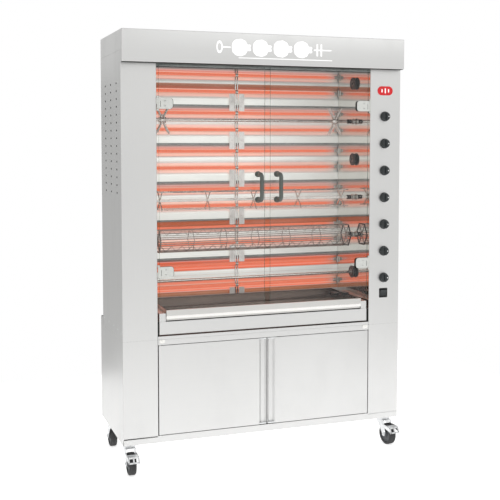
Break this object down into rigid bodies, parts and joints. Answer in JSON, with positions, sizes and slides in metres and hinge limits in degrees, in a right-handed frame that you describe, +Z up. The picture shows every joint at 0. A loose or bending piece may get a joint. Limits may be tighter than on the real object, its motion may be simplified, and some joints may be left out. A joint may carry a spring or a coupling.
{
  "type": "rotisserie oven",
  "caption": "Tall stainless rotisserie oven with glass doors, glowing quartz lamps, driven spits and a drip tray, on a wheeled two-door cabinet.",
  "frame": {"origin": "middle of the footprint, on the floor", "axes": "+Z up, +Y from the glass doors to the back, +X to the side with the knobs"},
  "size_m": [1.34, 0.5602, 1.942],
  "materials": {
    "satin_steel": "satin stainless steel sheet, lightly brushed",
    "polished_steel": "bright polished stainless steel lining",
    "clear_glass": "clear toughened glass with a green edge",
    "lamp_quartz": "glowing quartz tube",
    "black_plastic": "black moulded plastic",
    "handle_grip": "dark grey-green satin bar",
    "zinc_steel": "bright zinc plated pressed steel",
    "tyre_rubber": "black rubber",
    "spit_steel": "bright stainless bar and wire",
    "black_enamel": "black enamelled steel",
    "red_enamel": "plain red enamelled plate",
    "white_print": "white print"
  },
  "bodies": {
    "root": {"base_left_side": "satin_steel", "base_right_side": "satin_steel", "base_back": "satin_steel", "base_floor": "satin_steel", "base_deck": "satin_steel", "oven_left_side": "satin_steel", "oven_right_side": "satin_steel", "oven_back_cover": "satin_steel", "oven_bottom": "satin_steel", "header_canopy": "satin_steel", "cable_gland": "black_plastic", "cavity_left_wall": "polished_steel", "cavity_right_wall": "polished_steel", "cavity_roof": "polished_steel", "cavity_floor": "satin_steel", "rear_reflector": "polished_steel", "heater_bank_upper": "lamp_quartz", "heater_bank_middle": "lamp_quartz", "heater_bank_lower": "lamp_quartz", "drive_chain": "zinc_steel", "gear_motor": "black_enamel"},
    "glass_door_left": {"glass_door_left": "clear_glass", "glass_clamp_left_upper": "zinc_steel", "glass_clamp_left_lower": "zinc_steel", "door_handle_left": "handle_grip"},
    "glass_door_right": {"glass_door_right": "clear_glass", "glass_clamp_right_upper": "zinc_steel", "glass_clamp_right_lower": "zinc_steel", "door_handle_right": "handle_grip"},
    "base_door_left": {"base_door_left": "satin_steel"},
    "base_door_right": {"base_door_right": "satin_steel"},
    "drip_tray": {"drip_tray": "polished_steel"},
    "knob_1": {"knob_1": "black_plastic"},
    "knob_2": {"knob_2": "black_plastic"},
    "knob_3": {"knob_3": "black_plastic"},
    "knob_4": {"knob_4": "black_plastic"},
    "knob_5": {"knob_5": "black_plastic"},
    "knob_6": {"knob_6": "black_plastic"},
    "knob_7": {"knob_7": "black_plastic"},
    "power_rocker": {"power_rocker": "black_plastic"},
    "spit_drive_1": {"spit_drive_1": "black_enamel"},
    "spit_drive_2": {"spit_drive_2": "black_enamel", "fork_spit": "spit_steel"},
    "spit_drive_3": {"spit_drive_3": "black_enamel"},
    "spit_drive_4": {"spit_drive_4": "black_enamel", "multi_fork_spit": "spit_steel"},
    "spit_drive_5": {"spit_drive_5": "black_enamel", "basket_spit": "spit_steel"},
    "spit_drive_6": {"spit_drive_6": "black_enamel", "plain_spit": "spit_steel"},
    "caster_fork_front_left": {"caster_fork_front_left": "zinc_steel"},
    "caster_wheel_front_left": {"caster_wheel_front_left": "tyre_rubber"},
    "brake_pedal_front_left": {"brake_pedal_front_left": "zinc_steel"},
    "caster_fork_front_right": {"caster_fork_front_right": "zinc_steel"},
    "caster_wheel_front_right": {"caster_wheel_front_right": "tyre_rubber"},
    "brake_pedal_front_right": {"brake_pedal_front_right": "zinc_steel"},
    "caster_fork_rear_left": {"caster_fork_rear_left": "zinc_steel"},
    "caster_wheel_rear_left": {"caster_wheel_rear_left": "tyre_rubber"},
    "caster_fork_rear_right": {"caster_fork_rear_right": "zinc_steel"},
    "caster_wheel_rear_right": {"caster_wheel_rear_right": "tyre_rubber"}
  },
  "joints": [
    {"name": "glass_door_left_hinge", "type": "hinge", "parent": "root", "child": "glass_door_left", "pos_m": [-0.508, -0.22488, 1.263], "axis": [0, 0, 1], "range_deg": [-110, 0]},
    {"name": "glass_door_right_hinge", "type": "hinge", "parent": "root", "child": "glass_door_right", "pos_m": [0.508, -0.22488, 1.263], "axis": [0, 0, 1], "range_deg": [0, 110]},
    {"name": "base_door_left_hinge", "type": "hinge", "parent": "root", "child": "base_door_left", "pos_m": [-0.502, -0.21388, 0.372], "axis": [0, 0, 1], "range_deg": [-100, 0]},
    {"name": "base_door_right_hinge", "type": "hinge", "parent": "root", "child": "base_door_right", "pos_m": [0.502, -0.21388, 0.372], "axis": [0, 0, 1], "range_deg": [0, 100]},
    {"name": "drip_tray_slide", "type": "slide", "parent": "root", "child": "drip_tray", "axis": [0, -1, 0], "range_m": [0, 0.28]},
    {"name": "knob_1_turn", "type": "hinge", "parent": "root", "child": "knob_1", "pos_m": [0.589, -0.22988, 1.584], "axis": [0, 1, 0], "range_deg": [0, 270]},
    {"name": "knob_2_turn", "type": "hinge", "parent": "root", "child": "knob_2", "pos_m": [0.589, -0.22988, 1.4568], "axis": [0, 1, 0], "range_deg": [0, 270]},
    {"name": "knob_3_turn", "type": "hinge", "parent": "root", "child": "knob_3", "pos_m": [0.589, -0.22988, 1.3296], "axis": [0, 1, 0], "range_deg": [0, 270]},
    {"name": "knob_4_turn", "type": "hinge", "parent": "root", "child": "knob_4", "pos_m": [0.589, -0.22988, 1.2024], "axis": [0, 1, 0], "range_deg": [0, 270]},
    {"name": "knob_5_turn", "type": "hinge", "parent": "root", "child": "knob_5", "pos_m": [0.589, -0.22988, 1.0752], "axis": [0, 1, 0], "range_deg": [0, 270]},
    {"name": "knob_6_turn", "type": "hinge", "parent": "root", "child": "knob_6", "pos_m": [0.589, -0.22988, 0.948], "axis": [0, 1, 0], "range_deg": [0, 270]},
    {"name": "knob_7_turn", "type": "hinge", "parent": "root", "child": "knob_7", "pos_m": [0.589, -0.22988, 0.8208], "axis": [0, 1, 0], "range_deg": [0, 270]},
    {"name": "power_rocker_tilt", "type": "hinge", "parent": "root", "child": "power_rocker", "pos_m": [0.589, -0.21788, 0.748], "axis": [1, 0, 0], "range_deg": [-18, 0]},
    {"name": "spit_1_turn", "type": "hinge", "parent": "root", "child": "spit_drive_1", "pos_m": [0.506, -0.05488, 1.746], "axis": [1, 0, 0], "continuous": true},
    {"name": "spit_2_turn", "type": "hinge", "parent": "root", "child": "spit_drive_2", "pos_m": [0.506, -0.05488, 1.563], "axis": [1, 0, 0], "continuous": true},
    {"name": "spit_3_turn", "type": "hinge", "parent": "root", "child": "spit_drive_3", "pos_m": [0.506, -0.05488, 1.38], "axis": [1, 0, 0], "continuous": true},
    {"name": "spit_4_turn", "type": "hinge", "parent": "root", "child": "spit_drive_4", "pos_m": [0.506, -0.05488, 1.197], "axis": [1, 0, 0], "continuous": true},
    {"name": "spit_5_turn", "type": "hinge", "parent": "root", "child": "spit_drive_5", "pos_m": [0.506, -0.05488, 1.014], "axis": [1, 0, 0], "continuous": true},
    {"name": "spit_6_turn", "type": "hinge", "parent": "root", "child": "spit_drive_6", "pos_m": [0.506, -0.05488, 0.831], "axis": [1, 0, 0], "continuous": true},
    {"name": "front_left_swivel", "type": "hinge", "parent": "root", "child": "caster_fork_front_left", "pos_m": [-0.63, -0.15188, 0.125], "axis": [0, 0, 1], "continuous": true},
    {"name": "front_left_roll", "type": "hinge", "parent": "caster_fork_front_left", "child": "caster_wheel_front_left", "pos_m": [-0.63, -0.18988, 0.05], "axis": [1, 0, 0], "continuous": true},
    {"name": "front_left_brake", "type": "hinge", "parent": "caster_fork_front_left", "child": "brake_pedal_front_left", "pos_m": [-0.63, -0.18488, 0.09], "axis": [1, 0, 0], "range_deg": [0, 12]},
    {"name": "front_right_swivel", "type": "hinge", "parent": "root", "child": "caster_fork_front_right", "pos_m": [0.63, -0.15188, 0.125], "axis": [0, 0, 1], "continuous": true},
    {"name": "front_right_roll", "type": "hinge", "parent": "caster_fork_front_right", "child": "caster_wheel_front_right", "pos_m": [0.63529, -0.18951, 0.05], "axis": [0.9903, 0.1392, 0], "continuous": true},
    {"name": "front_right_brake", "type": "hinge", "parent": "caster_fork_front_right", "child": "brake_pedal_front_right", "pos_m": [0.63459, -0.18455, 0.09], "axis": [0.9903, 0.1392, 0], "range_deg": [0, 12]},
    {"name": "rear_left_swivel", "type": "hinge", "parent": "root", "child": "caster_fork_rear_left", "pos_m": [-0.63, 0.19212, 0.125], "axis": [0, 0, 1], "continuous": true},
    {"name": "rear_left_roll", "type": "hinge", "parent": "caster_fork_rear_left", "child": "caster_wheel_rear_left", "pos_m": [-0.63, 0.23012, 0.05], "axis": [1, 0, 0], "continuous": true},
    {"name": "rear_right_swivel", "type": "hinge", "parent": "root", "child": "caster_fork_rear_right", "pos_m": [0.63, 0.19212, 0.125], "axis": [0, 0, 1], "continuous": true},
    {"name": "rear_right_roll", "type": "hinge", "parent": "caster_fork_rear_right", "child": "caster_wheel_rear_right", "pos_m": [0.63, 0.23012, 0.05], "axis": [1, 0, 0], "continuous": true}
  ],
  "couplings": [
    {"joint": "spit_1_turn", "follows": "spit_5_turn", "ratio": 1},
    {"joint": "spit_2_turn", "follows": "spit_5_turn", "ratio": 1},
    {"joint": "spit_3_turn", "follows": "spit_5_turn", "ratio": 1},
    {"joint": "spit_4_turn", "follows": "spit_5_turn", "ratio": 1},
    {"joint": "spit_6_turn", "follows": "spit_5_turn", "ratio": 1}
  ]
}
